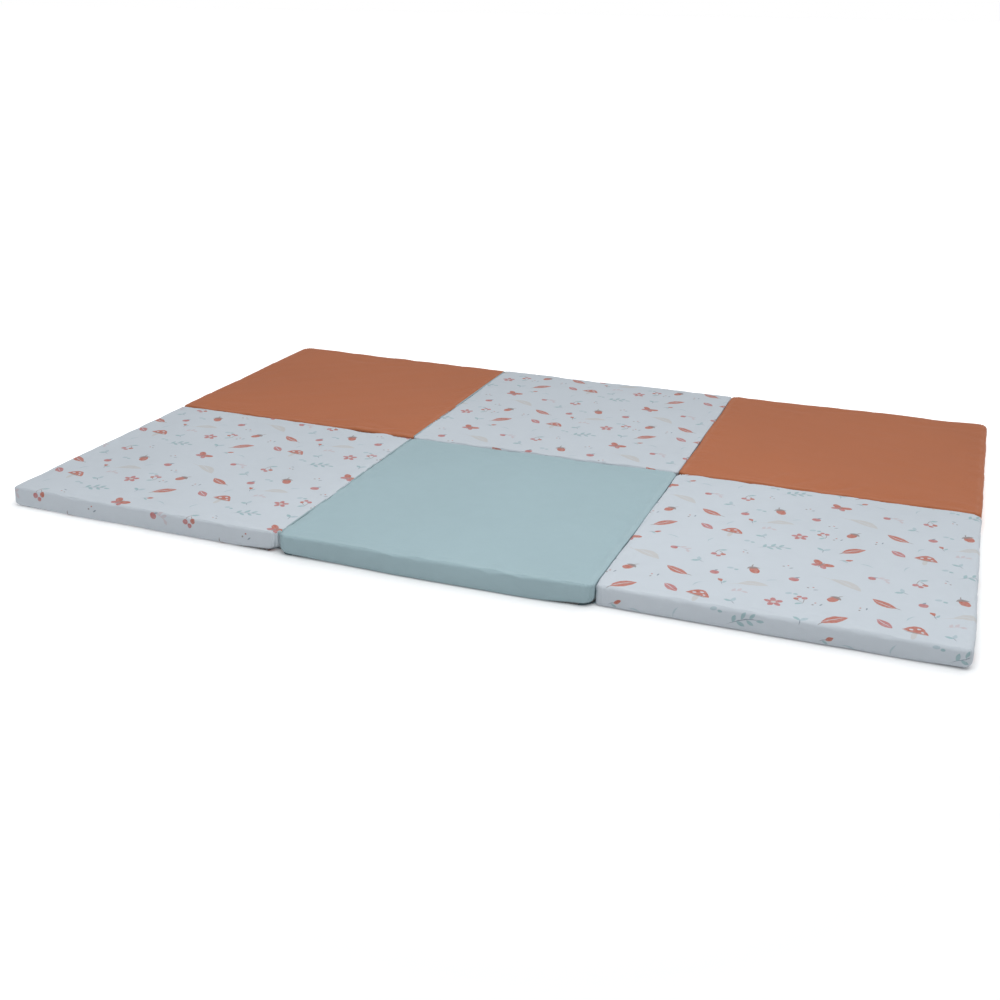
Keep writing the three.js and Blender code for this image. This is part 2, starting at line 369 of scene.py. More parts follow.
def outward(points, faces):
    """The points' normals."""
    faces = np.array(faces)
    across = points[faces[:, 2]] - points[faces[:, 0]]
    up = points[faces[:, 3]] - points[faces[:, 1]]
    facing = np.cross(across, up)
    total = np.zeros_like(points)
    for corner in range(4):
        for axis in range(3):
            total[:, axis] += np.bincount(faces[:, corner], facing[:, axis], len(points))
    return total / np.maximum(np.linalg.norm(total, axis=1), 1e-12)[:, None]


def relief(cover):
    """How far a cover's points stand out from its plain form: an uneven filling, creases on the top, gathers
    by the seams and puckers at the corner seams."""
    panel, points, kinds, runs = cover.panel, cover.points, cover.kinds, cover.runs
    x, y, z = points.T
    seed = panel["seed"] * 10
    height = 0.0007 * swell(points, 0.17, seed) + 0.00028 * swell(points, 0.055, seed + 1)
    height += np.where(kinds == cover.SIDE, 0.0003 * swell(points * (1, 1, 0.4), 0.042, seed + 2), 0)
    on_top = smooth((z - 0.030) / 0.006)
    for cx, cy, heading, length, width, rise in CREASES[panel["name"]]:
        c, s = math.cos(math.radians(heading)), math.sin(math.radians(heading))
        dx, dy = x - cx / 1000, y - cy / 1000
        u = (c * dx + s * dy) / (length / 2000)
        v = (c * dy - s * dx + 0.10 * width / 1000 * np.sin(u * 2.3 + cx)) / (width / 1000)
        height += on_top * rise / 1000 * np.exp(-(u**4) / 1.2) * (1 - 0.8 * v**2) * np.exp(-(v**2))
    edge = 0.011 * (1 + 0.3 * swell(points, 0.06, seed + 3))
    for side, start, end, rise in GATHERS[panel["name"]]:
        a, o = ALONG[side], OUT[side]
        t = (x * a[0] + y * a[1]) * 1000
        depth = HALF - (x * o[0] + y * o[1]) + np.clip(0.030 - z, 0, 1)
        share = smooth((t - start) / 20) * smooth((end - t) / 20) * np.exp(-depth / edge)
        wave = np.sin(t * 2 * math.pi / GATHER_PITCH + 2.4 * swell(points, 0.045, seed + 4))
        height += rise / 1000 * share * wave * (0.6 + 0.4 * swell(points, 0.03, seed + 5))
    pucker = np.sin(runs * 2 * math.pi / PUCKER_PITCH + 1.6 * swell(points, 0.03, seed + 6))
    pucker = pucker * np.exp(-runs / 0.012)
    groove = np.exp(-((runs / SEAM_WIDTH) ** 2))
    up_the_side = smooth((z - 0.002) / 0.006)
    at_seam = (PUCKER_HEIGHT * pucker * smooth(runs / 0.003) - SEAM_DEPTH * groove) * up_the_side
    height += np.where(kinds == cover.SIDE, at_seam, 0)
    height -= np.where(kinds == cover.TOP, 0.0009 * np.exp(-((runs / 0.005) ** 2)), 0)
    return height * smooth((z - 0.0005) / 0.006) * (kinds != cover.UNDERSIDE)


def crumple(cover):
    """Gives the cover its relief, kept off the floor and, by a neighbour, inside the panel's own square."""
    moved = cover.points + outward(cover.points, cover.faces) * relief(cover)[:, None]
    moved[:, 2] = np.maximum(moved[:, 2], 0)
    for corner, rise in cover.panel.get("lift", {}).items():
        north_south, east_west = corner.split("_")
        far = np.hypot(HALF - moved[:, 0] * OUT[east_west][0], HALF - moved[:, 1] * OUT[north_south][1])
        moved[:, 2] += rise / 1000 * smooth(1.3 - far / 0.020) * np.clip(1 - moved[:, 2] / SHOULDER, 0, 1)
    for side in DRAWN_IN[cover.panel["name"]]:
        axis = 0 if OUT[side][0] else 1
        sign = OUT[side][axis]
        moved[:, axis] = np.minimum(moved[:, axis] * sign, HALF) * sign
    cover.points = moved


def settle(panels):
    """Draws each cover over its foam with Blender's cloth simulation, on a coarser cover: near the seams and
    corners the cloth is a little longer than the foam, which holds it elsewhere. It gives the coarser covers
    and how far their points move."""
    scene = bpy.context.scene
    pieces = []
    for panel in panels:
        cover = Cover(panel, SETTLING_LINES)
        crumple(cover)
        kept = cover.kinds != cover.UNDERSIDE
        mesh = bpy.data.meshes.new("settling")
        faces = cover.faces[kept[cover.faces].all(axis=1)]
        mesh.from_pydata(cover.points[kept].tolist(), [], faces.tolist())
        piece = bpy.data.objects.new("settling", mesh)
        scene.collection.objects.link(piece)
        x, y, z = cover.points[kept].T
        depth = HALF - np.maximum(abs(x), abs(y))
        hold = 0.10 + 0.55 * smooth((depth - 0.020) / 0.050)
        hold = np.where(z < 0.012, 1.0, hold)
        hold = np.where(cover.runs[kept] < 0.0008, 0.9, hold)
        for side, drawn in DRAWN_IN[panel["name"]].items():
            if drawn in ("top", "flat"):
                hold[cover.rings[side][2:5].ravel()] = 1.0
        taut = np.where(cover.kinds[kept] == cover.TOP, smooth((depth - 0.012) / 0.045), 0.35)
        for name, weights in (("foam", hold), ("taut", taut)):
            group = piece.vertex_groups.new(name=name)
            for level in np.unique(np.round(weights, 2)):
                chosen = np.nonzero(np.round(weights, 2) == level)[0]
                group.add(chosen.tolist(), float(level), "REPLACE")
        cloth = piece.modifiers.new("cloth", "CLOTH")
        settings = cloth.settings
        settings.quality = 6
        settings.mass = 0.12
        settings.tension_stiffness = settings.compression_stiffness = 12
        settings.shear_stiffness = 4
        settings.bending_stiffness = 0.03
        settings.air_damping = 2
        settings.vertex_group_mass = "foam"
        settings.pin_stiffness = FOAM_HOLD
        settings.vertex_group_shrink = "taut"
        settings.shrink_min, settings.shrink_max = -CLOTH_EASE, 0.0
        settings.effector_weights.gravity = 0
        cloth.collision_settings.use_collision = False
        cloth.point_cache.frame_start, cloth.point_cache.frame_end = 1, SETTLING_FRAMES
        pieces.append((cover, kept, piece))
    for frame_number in range(1, SETTLING_FRAMES + 1):
        scene.frame_set(frame_number)
    settled = {}
    graph = bpy.context.evaluated_depsgraph_get()
    for cover, kept, piece in pieces:
        flat = np.empty(kept.sum() * 3)
        piece.evaluated_get(graph).data.vertices.foreach_get("co", flat)
        moved = np.zeros_like(cover.points)
        moved[kept] = flat.reshape(-1, 3) - cover.points[kept]
        far = np.linalg.norm(moved, axis=1)[:, None]
        moved *= np.minimum(1, SETTLING_LIMIT / np.maximum(far, 1e-9))
        settled[cover.panel["name"]] = (cover, moved)
        bpy.data.objects.remove(piece)
    scene.frame_set(1)
    return settled


def between_threads(coarse, fine):
    """Weights that carry values on the coarse threads to the fine ones, smoothly."""
    weights = np.zeros((len(fine), len(coarse)))
    last = len(coarse) - 2
    cell = np.clip(np.searchsorted(coarse, fine, side="right") - 1, 0, last)
    u = (fine - coarse[cell]) / (coarse[cell + 1] - coarse[cell])
    before = (-u + 2 * u**2 - u**3) / 2
    here = (2 - 5 * u**2 + 3 * u**3) / 2
    after = (u + 4 * u**2 - 3 * u**3) / 2
    beyond = (u**3 - u**2) / 2
    for step, share in zip((-1, 0, 1, 2), (before, here, after, beyond)):
        np.add.at(weights, (np.arange(len(fine)), np.clip(cell + step, 0, last + 1)), share)
    return weights


def carry(settled, cover):
    """Moves the fine cover's points as the settled one's moved."""
    coarse, moved = settled
    weights = between_threads(coarse.lines, cover.lines)
    cover.points[cover.top] += np.einsum("ia,abk,jb->ijk", weights, moved[coarse.top], weights)
    for side in SIDES:
        rows = np.einsum("ka,rac->rkc", weights, moved[coarse.rings[side][1:]])
        cover.points[cover.rings[side][1:, :-1]] += rows[:, :-1]


def sway(points):
    """A slight unevenness of the whole mat in plan, which carries neighbouring covers and their hinges."""
    flat = points[:, :2]
    moved = points.copy()
    moved[:, 0] += 0.0008 * swell(flat, 0.24, 71) + 0.0002 * swell(flat, 0.09, 72)
    moved[:, 1] += 0.0009 * swell(flat, 0.26, 73) + 0.0003 * swell(flat, 0.10, 74)
    # The right seam bears a little to the left towards its front end
    moved[:, 0] -= 0.0035 * np.exp(-(((flat[:, 0] - 0.3) / 0.2) ** 2)) * smooth((-0.25 - flat[:, 1]) / 0.35)
    return moved


def lay_out(panel, points):
    """The points where the panel really lies in the mat."""
    across = points[:, 0] / PANEL_SIDE + 0.5
    front = panel["front"][0] + (panel["front"][1] - panel["front"][0]) * across
    up = np.clip(points[:, 2] / SHOULDER, 0, 1)
    front = front - panel.get("bow", 0) * (1 - 0.5 * up) * np.sin(math.pi * np.clip(across, 0, 1) ** 1.4)
    back = panel["back"][0] + (panel["back"][1] - panel["back"][0]) * across
    placed = points.copy()
    placed[:, 0] += (panel["column"] - 1) * PANEL_SIDE
    placed[:, 1] = front + (back - front) * (points[:, 1] / PANEL_SIDE + 0.5) + FRONT_LINE
    west, east = panel.get("rim", (0, 0))
    placed[:, 2] += up * (west + (east - west) * across) / 1000 * np.exp(-(points[:, 1] + HALF) / RIM_REACH)
    return sway(placed)


def sew_cover(panel, settled):
    cover = Cover(panel, LINES)
    if settled:
        carry(settled[panel["name"]], cover)
    crumple(cover)
    mesh = bpy.data.meshes.new(panel["name"] + "_cover")
    mesh.from_pydata(lay_out(panel, cover.points).tolist(), [], cover.faces.tolist())
    cut = cover.cut.reshape(-1, 2).astype(np.float32)
    mesh.uv_layers.new(name="cut").data.foreach_set("uv", cut.ravel())
    roll = cut + np.array(panel["roll"], dtype=np.float32)
    mesh.uv_layers.new(name="roll").data.foreach_set("uv", roll.ravel())
    mesh.shade_smooth()
    piece = bpy.data.objects.new(panel["name"] + "_cover", mesh)
    bpy.context.collection.objects.link(piece)
    return piece


# The hinge tapes. A section is half of one, in millimetres from the seam's middle, and from the upper face
# for a tape above, folded down between two covers, or from the floor for one below, cupped up under them.
TAPE_THICKNESS = 0.0007
TAPE_CELL = 0.004
TAPE_SECTIONS = {
    "above": [(0, -6.5), (0.2, -6.4), (0.37, -4.5), (0.45, -2.6), (0.95, -1.7), (1.9, -1.15)],
    "below": [(0, 2.5), (1.4, 2.1), (2.8, 1.1), (4.1, 0.6), (5.0, 0.55)],
}
# Each tape's section and the two panels whose covers it joins
TAPES = {
    "hinge_left_front": ("above", "left_front", "mid_front"),
    "hinge_left_back": ("above", "left_back", "mid_back"),
    "hinge_right_front": ("below", "mid_front", "right_front"),
    "hinge_right_back": ("below", "mid_back", "right_back"),
    "hinge_rows_left": ("below", "left_front", "left_back"),
}
# The left front tape's end comes up out of the seam and turns down between the two front covers: how long
# before the end it does so, its reach forward, bend, drop, half width and rows of thread in each of these
TAB_START, TAB_REACH, TAB_BEND, TAB_DROP, TAB_HALF_WIDTH = 0.014, 0.0125, 0.0025, 0.0045, 0.0044
TAB_ROWS = 5


def tape_section(kind):
    """A tape's whole section, as evenly spaced places across and heights, and its width when flat."""
    half = np.array(TAPE_SECTIONS[kind], float) / 1000
    across = np.concatenate([-half[:0:-1, 0], half[:, 0]])
    height = np.concatenate([half[:0:-1, 1], half[:, 1]])
    run = np.concatenate([[0], np.cumsum(np.hypot(np.diff(across), np.diff(height)))])
    even = np.linspace(0, run[-1], 21)
    return np.interp(even, run, across), np.interp(even, run, height), run[-1]


def tab_rows(middle, end, across, heights):
    """The rows of the tape's end, which opens out flat: their points and how far along it each one lies."""
    rim = heights[0]
    steps = [(TAB_REACH * k / TAB_ROWS, 0, 0) for k in range(1, TAB_ROWS + 1)]
    for turn in np.linspace(0.3, math.pi / 2, TAB_ROWS):
        steps.append((TAB_REACH + TAB_BEND * math.sin(turn), TAB_BEND * (1 - math.cos(turn)), turn))
    for k in range(1, TAB_ROWS + 1):
        steps.append((TAB_REACH + TAB_BEND, TAB_BEND + TAB_DROP * k / TAB_ROWS, math.pi / 2))
    spread = np.linspace(-TAB_HALF_WIDTH, TAB_HALF_WIDTH, len(across))
    for k, (forward, down, turn) in enumerate(steps, 1):
        share = smooth(k / TAB_ROWS)
        fold = (heights - rim) * (1 - 0.93 * share)
        x = middle + across * (1 - share) + spread * share
        y = end - forward - fold * math.sin(turn) * 0.8
        z = rim + 0.0013 * share - down + fold * math.cos(turn)
        yield np.stack([x, y, z], 1), forward + down


def sew_tape(name, kind):
    """A hinge's tape, and its width and length when flat."""
    (x0, y0, z0), (x1, y1, z1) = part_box(name)
    across, height, width = tape_section(kind)
    lengthwise = y1 - y0 > x1 - x0
    has_tab = name == "hinge_left_front"
    start, end = (y1, y0) if lengthwise else (x0, x1)
    end += TAB_START if has_tab else 0
    middle = (x0 + x1) / 2 if lengthwise else (y0 + y1) / 2
    count, length = int(abs(end - start) / TAPE_CELL), abs(end - start)
    level = PANEL_THICKNESS if kind == "above" else 0.0
    flat = np.linspace(-width / 2, width / 2, len(across))
    rows, cut = [], []
    for k in range(count + 1):
        along = start + (end - start) * k / count
        lift = (0.00018 if kind == "above" else 0.0) * swell([(along, z0)], 0.03, 90)[0]
        places = middle + across, np.full(len(across), along), level + height + lift
        rows.append(np.stack(places if lengthwise else (places[1], places[0], places[2]), 1))
        cut.append(np.stack([flat, np.full(len(flat), abs(along - start))], 1))
    if has_tab:
        for row, further in tab_rows(middle, end, across, level + height):
            rows.append(row)
            cut.append(np.stack([flat, np.full(len(flat), length + further)], 1))
        length += TAB_REACH + TAB_BEND * math.pi / 2 + TAB_DROP
    points = sway(np.concatenate(rows))
    n = len(across)
    ids = np.arange(len(points)).reshape(len(rows), n)
    faces = np.stack([ids[:-1, :-1], ids[:-1, 1:], ids[1:, 1:], ids[1:, :-1]], -1).reshape(-1, 4)
    facing = np.cross(points[n] - points[0], points[1] - points[0])[2]
    faces = faces[:, ::-1] if facing > 0 else faces
    mesh = bpy.data.meshes.new(name + "_tape")
    mesh.from_pydata(points.tolist(), [], faces.tolist())
    corners = np.concatenate(cut)[faces].astype(np.float32)
    mesh.uv_layers.new(name="cut").data.foreach_set("uv", corners.ravel())
    tape = bpy.data.objects.new(name + "_tape", mesh)
    bpy.context.collection.objects.link(tape)
    wall = tape.modifiers.new("wall", "SOLIDIFY")
    wall.thickness, wall.offset = TAPE_THICKNESS, 0
    bpy.ops.object.select_all(action="DESELECT")
    tape.select_set(True)
    bpy.context.view_layer.objects.active = tape
    bpy.ops.object.modifier_apply(modifier="wall")
    bpy.ops.object.shade_smooth()
    return tape, (width, length)


# The inks are how much of the cloth's own colour each lets through.
INKS = {
    "coral": (0.84, 0.235, 0.145),
    "rose": (0.85, 0.29, 0.26),
    "blush": (0.97, 0.80, 0.79),
    "oat": (0.95, 0.87, 0.80),
    "teal": (0.55, 0.73, 0.72),
    "mist": (0.72, 0.83, 0.84),
    "bark": (0.50, 0.39, 0.35),
    "slate": (0.42, 0.46, 0.50),
    "bare": (1.00, 1.00, 1.00),
}

# Each motif is a few brush marks in mm: kind, x, y, half length, half width, turn in degrees, bend and ink
MOTIFS = {
    "toadstool": [
        ("oval", 1, -11, 4.5, 13, 4, 0, "oat"), ("petal", 0, -1, 21, 10.5, 0, 1, "coral"),
        ("oval", -8, 6, 3.2, 2.3, 20, 0, "bare"), ("oval", 3, 12, 3.4, 2.4, 0, 0, "bare"),
        ("oval", 10, 4, 2.6, 2.0, -20, 0, "bare"), ("petal", 0, -2.5, 17, 1.3, 0, 0, "bark"),
    ],
    "acorn": [
        ("oval", 0, -6, 8.5, 12.5, 0, 0, "coral"), ("petal", 0, 1, 11.5, 4.4, 0, 1, "bark"),
        ("petal", 2, 13, 6, 1.1, 70, 0.8, "bark"),
    ],
    "leaf": [
        ("petal", 0, 0, 25, 9.5, 0, 0.25, "coral"), ("petal", -3, 1.8, 25, 0.75, 0, 1.5, "bare"),
        ("petal", -26, -1, 7, 0.9, 10, 0, "bark"),
    ],
    "round_leaf": [
        ("petal", 0, 0, 17, 8.5, 0, 0, "rose"), ("petal", -3, 0, 17, 0.7, 0, 0, "bare"),
    ],
    "sprig": [
        ("petal", 0, 0, 29, 0.9, 0, 5, "slate"), ("petal", -15, 9, 8, 3.3, 62, 0, "teal"),
        ("petal", -7, -2, 8, 3.3, -48, 0, "teal"), ("petal", 1, 12, 8, 3.3, 52, 0, "teal"),
        ("petal", 8, -2.5, 7.5, 3, -52, 0, "teal"), ("petal", 15, 9, 7, 3, 38, 0, "teal"),
        ("petal", 25, -1.5, 6.5, 2.6, -18, 0, "teal"),
    ],
    "berries": [
        ("petal", 0, 6, 12, 0.8, 68, 1.5, "bark"), ("petal", 6, 3, 9, 0.8, 118, -1.5, "bark"),
        ("oval", -6, -6, 5.4, 5.2, 0, 0, "rose"), ("oval", 10, -5, 4.8, 4.8, 0, 0, "coral"),
        ("oval", 2, -13, 4.6, 4.4, 0, 0, "rose"), ("petal", 10, 15, 8, 3.2, 20, 0, "teal"),
    ],
    "daisy": [
        ("oval", 0, 9, 4.4, 6.6, 0, 0, "rose"), ("oval", 8.6, 2.8, 4.4, 6.6, -72, 0, "rose"),
        ("oval", 5.3, -7.3, 4.4, 6.6, 36, 0, "rose"), ("oval", -5.3, -7.3, 4.4, 6.6, -36, 0, "rose"),
        ("oval", -8.6, 2.8, 4.4, 6.6, 72, 0, "rose"), ("oval", 0, 0, 4, 4, 0, 0, "oat"),
    ],
    "butterfly": [
        ("oval", -10, 5, 11, 6.8, -32, 0, "coral"), ("oval", 10, 5, 11, 6.8, 32, 0, "coral"),
        ("oval", -7.5, -7, 7.5, 5, 32, 0, "rose"), ("oval", 7.5, -7, 7.5, 5, -32, 0, "rose"),
        ("petal", 0, -1, 12, 1.7, 90, 0, "bark"),
    ],
    "plume": [
        ("petal", 8, 0, 27, 9, 0, 0.6, "oat"), ("petal", -8, -3, 30, 0.8, 4, 3, "oat"),
        ("petal", 4, 3, 20, 0.7, -6, 2, "bare"),
    ],
    "twin_leaves": [
        ("petal", -6, 3, 9, 4, 140, 0, "teal"), ("petal", 6, 4, 10, 4, 42, 0, "mist"),
        ("petal", 0, -6, 7, 0.8, 90, 0, "slate"),
    ],
    "pip": [
        ("oval", 0, 0, 8.6, 7.8, 0, 0, "rose"), ("petal", 4, 9, 5.5, 2, 35, 0, "slate"),
    ],
    "blush_twig": [
        ("petal", 0, 0, 18, 0.9, 0, 3, "blush"), ("petal", -7, 6, 7, 3, 60, 0, "blush"),
        ("petal", 3, 7, 7, 3, 50, 0, "blush"), ("petal", 10, -1, 6.5, 2.8, -35, 0, "blush"),
    ],
    "bud": [
        ("petal", 0, -5, 9, 0.8, 84, 1.0, "slate"), ("petal", 0, 6, 8, 4.2, 92, 0, "coral"),
        ("petal", 5, -4, 6, 2.3, 38, 0, "teal"),
    ],
    "crumbs": [
        ("oval", -7, 1, 2.1, 1.7, 0, 0, "bark"), ("oval", 1, 5, 1.9, 1.6, 0, 0, "coral"),
        ("petal", 6, -4, 4.5, 1.4, 25, 0, "slate"),
    ],
    "stroke": [
        ("petal", 0, 0, 13, 1.5, 0, 2.2, "mist"),
    ],
    "pebbles": [
        ("oval", -5, 0, 6.5, 4.2, 15, 0, "mist"), ("oval", 7, -4, 4.4, 3.2, -10, 0, "teal"),
    ],
}

# The repeat, in millimetres, and its motifs: place, turn in degrees and size. The second half is counted from
# the repeat's corner, so that no motif is cut where the repeat starts again.
REPEAT = (344, 292)
PLACES = {
    "middle": [
        ("toadstool", -112, 70, -10, 1.0), ("daisy", 8, 92, 12, 1.0), ("leaf", 108, 62, 38, 1.0),
        ("sprig", -28, 22, 18, 1.0), ("berries", -118, -38, 8, 1.0), ("butterfly", 62, -20, -24, 1.0),
        ("acorn", -46, -82, 24, 1.05), ("plume", 104, -86, -32, 1.15), ("blush_twig", -52, 108, 20, 1.0),
        ("twin_leaves", 56, 46, 0, 0.9), ("crumbs", 8, -52, 10, 1.0), ("crumbs", -72, -14, 140, 0.9),
        ("stroke", 136, 6, -20, 1.0), ("pebbles", -74, 38, 0, 0.85), ("pip", 26, -100, 0, 1.0),
        ("stroke", -8, -118, 30, 0.8), ("bud", 100, 16, -64, 0.9), ("bud", -88, 138, 24, 1.0),
        ("twin_leaves", -56, 70, 34, 0.85), ("pip", 150, -44, -24, 0.8), ("crumbs", 74, 106, 40, 1.0),
        ("pebbles", 30, 136, 20, 0.9), ("stroke", -140, 18, 70, 0.9),
    ],
    "corner": [
        ("leaf", 6, 6, 150, 0.95), ("pip", 66, 22, 20, 0.95), ("acorn", -72, -6, -30, 0.95),
        ("twin_leaves", 30, 62, 60, 0.9), ("blush_twig", -4, 100, -30, 1.0),
        ("round_leaf", 12, -66, -40, 1.0), ("crumbs", -26, -30, 60, 1.0), ("plume", 130, -2, 12, 0.95),
        ("stroke", 50, -34, 60, 0.9), ("crumbs", -112, 20, 0, 1.0), ("pebbles", 92, 52, 0, 0.9),
        ("berries", -122, -30, -160, 0.9),
    ],
}


class Wire:
    """What runs along a wire between a finish's nodes. Sums on it add Math nodes."""

    def __init__(self, finish, socket):
        self.finish, self.socket = finish, socket

    def maths(self, operation, *values, **settings):
        return self.finish.node("Math", dict(operation=operation, **settings), values)

    def __add__(self, other):
        return self.maths("ADD", self, other)

    def __sub__(self, other):
        return self.maths("SUBTRACT", self, other)

    def __rsub__(self, other):
        return self.maths("SUBTRACT", other, self)

    def __mul__(self, other):
        return self.maths("MULTIPLY", self, other)

    __radd__, __rmul__ = __add__, __mul__

    def times_plus(self, factor, addend):
        return self.maths("MULTIPLY_ADD", self, factor, addend)

    def outlet(self, number):
        """Another output of the node that this wire leaves."""
        return Wire(self.finish, self.socket.node.outputs[number])

    def absolute(self):
        return self.maths("ABSOLUTE", self)

    def most(self, other):
        return self.maths("MAXIMUM", self, other)

    def sine(self):
        return self.maths("SINE", self)

    def ramp(self, slope, offset):
        """slope times the value plus offset, kept between 0 and 1."""
        return self.maths("MULTIPLY_ADD", self, slope, offset, use_clamp=True)


class Finish:
    """The nodes of a cloth, of the floor's paper or of the studio's sky."""

    def __init__(self, owner, shader="Principled BSDF"):
        self.owner = owner
        owner.use_nodes = True
        self.tree = owner.node_tree
        self.shader = self.tree.nodes[shader]

    def node(self, kind, settings=None, sockets=(), output=0):
        """Adds a node, sets it, feeds its sockets and gives back what comes out of it."""
        made = self.tree.nodes.new("ShaderNode" + kind)
        for name, value in (settings or {}).items():
            setattr(made, name, value)
        for key, value in sockets.items() if isinstance(sockets, dict) else enumerate(sockets):
            if isinstance(value, Wire):
                self.tree.links.new(value.socket, made.inputs[key])
            else:
                made.inputs[key].default_value = value
        return Wire(self, made.outputs[output])

    def vector(self, operation, *values, output=0):
        return self.node("VectorMath", dict(operation=operation), values, output)

    def blend(self, share, first, second):
        """first where share is 0 and second where it is 1, as colours."""
        return self.node("Mix", dict(data_type="RGBA"), {0: share, 6: first, 7: second}, 2)

    def noise(self, place, scale, detail=2.0, roughness=0.5, output=0):
        sockets = {"Vector": place, "Scale": scale, "Detail": detail, "Roughness": roughness}
        return self.node("TexNoise", {}, sockets, output)

    def place(self, output="Object"):
        return self.node("TexCoord", {}, {}, output)

    def own_map(self, name):
        return self.node("UVMap", dict(uv_map=name))

    def parts(self, vector):
        """A vector's x and y."""
        x = self.node("SeparateXYZ", {}, {"Vector": vector})
        return x, x.outlet(1)

    def dye(self, colour, shade):
        return self.vector("MULTIPLY", colour, self.node("CombineXYZ", {}, [shade, shade, shade]))

    def feed(self, name, value):
        if isinstance(value, Wire):
            self.tree.links.new(value.socket, self.shader.inputs[name])
        else:
            self.shader.inputs[name].default_value = value


THREAD_PITCH = 0.00052
TAPE_RIB = 0.0011
STITCH_INSET, STITCH_WIDTH, STITCH_PITCH = 0.0044, 0.00045, 0.0034


def weave(cloth, colour):
    """Finishes a cloth of that colour, which may be a print: a fine plain weave, slubs in the yarn, uneven
    dye, rubbed edges and a soft nap."""
    cut, place = cloth.own_map("cut"), cloth.place()
    along, across = cloth.parts(cut)
    wander = cloth.noise(place, 90, 1.0)
    step = 2 * math.pi / THREAD_PITCH
    warp = (along * step + wander * 3).sine()
    weft = (across * step + wander * 3).sine()
    yarn = warp * weft * 0.5 + 0.5
    slub = cloth.noise(cloth.node("Mapping", {}, {"Vector": cut, "Scale": (60, 1100, 1)}), 1.0, 3.0)
    cloudy = cloth.noise(place, 3.2, 3.0)
    mottle = cloth.noise(place, 38, 4.0, 0.6)
    rim = along.absolute().most(across.absolute())
    rubbed = (rim - (REACH - 0.004)).absolute().ramp(-170, 1.0) * mottle.ramp(3.2, -1.1)
    shade = (cloudy - 0.5) * 0.10 + (mottle - 0.5) * 0.07 + (slub - 0.5) * 0.05 + yarn * 0.035 + 0.985
    cloth.feed("Base Color", cloth.blend(rubbed * 0.035, cloth.dye(colour, shade), (0.80, 0.79, 0.77, 1)))
    cloth.feed("Roughness", (mottle - 0.5) * 0.12 + rubbed * 0.05 + 0.86)
    height = yarn * 0.00006 + slub * 0.00007 + mottle * 0.00022
    cloth.feed("Normal", cloth.node("Bump", {}, {"Strength": 0.55, "Distance": 1.0, "Height": height}))
    cloth.feed("Sheen Weight", 0.07)
    cloth.feed("Sheen Roughness", 0.45)
    cloth.feed("Specular IOR Level", 0.25)
    return cloth.owner


def new_cloth(name):
    return Finish(bpy.data.materials.new(name))


def plain_cloth(name, colour):
    return weave(new_cloth(name), colour)


def tape_cloth(name, colour):
    """A ribbed tape with a row of stitches along each edge."""
    cloth = new_cloth(name)
    across, along = cloth.parts(cloth.own_map("cut"))
    fuzz = cloth.noise(cloth.place(), 160, 3.0, 0.6)
    rib = (across * (2 * math.pi / TAPE_RIB)).sine() * 0.5 + 0.5
    pick = (along * (2 * math.pi / THREAD_PITCH)).sine() * 0.5 + 0.5
    row = (across.absolute() - STITCH_INSET).absolute().ramp(-1 / STITCH_WIDTH, 1.4)
    stitch = row * (along * (2 * math.pi / STITCH_PITCH)).sine().ramp(6, 2.6)
    shade = (fuzz - 0.5) * 0.16 + rib * 0.06 + pick * 0.04 + 0.95
    cloth.feed("Base Color", cloth.blend(stitch * 0.8, cloth.dye(colour, shade), (0.46, 0.53, 0.55, 1)))
    cloth.feed("Roughness", (fuzz - 0.5) * 0.1 + 0.84)
    height = rib * 0.00009 + pick * 0.00004 + fuzz * 0.00008 + stitch * 0.00022
    cloth.feed("Normal", cloth.node("Bump", {}, {"Strength": 0.7, "Distance": 1.0, "Height": height}))
    cloth.feed("Sheen Weight", 0.06)
    cloth.feed("Specular IOR Level", 0.3)
    return cloth.owner


def in_mark(px, py, x, y, turn, length, width):
    """Where a point of the repeat lies in a brush mark's own axes: 1 at its ends and 1 at its sides."""
    c, s = math.cos(turn), math.sin(turn)
    u = px.times_plus(c / length, py.times_plus(s / length, -(c * x + s * y) / length))
    v = px.times_plus(-s / width, py.times_plus(c / width, (s * x - c * y) / width))
    return u, v


def printed_cloth(name, ground):
    """The ground with the motifs' brush marks laid over it, one after another."""
    cloth = new_cloth(name)
    # In millimetres from here on
    place = cloth.node("VectorMath", dict(operation="SCALE"), {0: cloth.own_map("roll"), "Scale": 1000})
    tremor = cloth.vector("SUBTRACT", cloth.noise(place, 0.11, 2.0, output=1), (0.5, 0.5, 0.5))
    place = cloth.vector("MULTIPLY_ADD", tremor, (2.6, 2.6, 0), place)
    wash = cloth.noise(place, 0.16, 3.0, 0.6).ramp(0.75, 0.50)
    colour = (*ground, 1)
    half = (REPEAT[0] / 2, REPEAT[1] / 2)
    for group, shift in (("middle", (0, 0)), ("corner", half)):
        centred = cloth.vector("SUBTRACT", place, (*shift, 0))
        tile = cloth.vector("WRAP", centred, (*half, 1), (-half[0], -half[1], -1))
        px, py = cloth.parts(tile)
        for motif, x, y, turn, size in PLACES[group]:
            c, s = math.cos(math.radians(turn)), math.sin(math.radians(turn))
            for kind, mx, my, length, width, tilt, bend, ink in MOTIFS[motif]:
                u, v = in_mark(px, py, x + size * (c * mx - s * my), y + size * (s * mx + c * my),
                               math.radians(turn + tilt), length * size, width * size)
                sharp = width * size / 0.7
                if kind == "oval":
                    inside = u.times_plus(u, v * v).ramp(-sharp / 2, sharp / 2 + 0.5)
                else:
                    arch = (u * -1).times_plus(u, 1.0)
                    middle = arch.times_plus(-bend, v) if bend else v
                    inside = (arch - middle.absolute()).ramp(sharp, 0.5)
                share = inside * wash if ink != "bare" else inside
                dye = tuple(g * k for g, k in zip(ground, INKS[ink])) + (1,)
                colour = cloth.blend(share, colour, dye)
    return weave(cloth, colour)


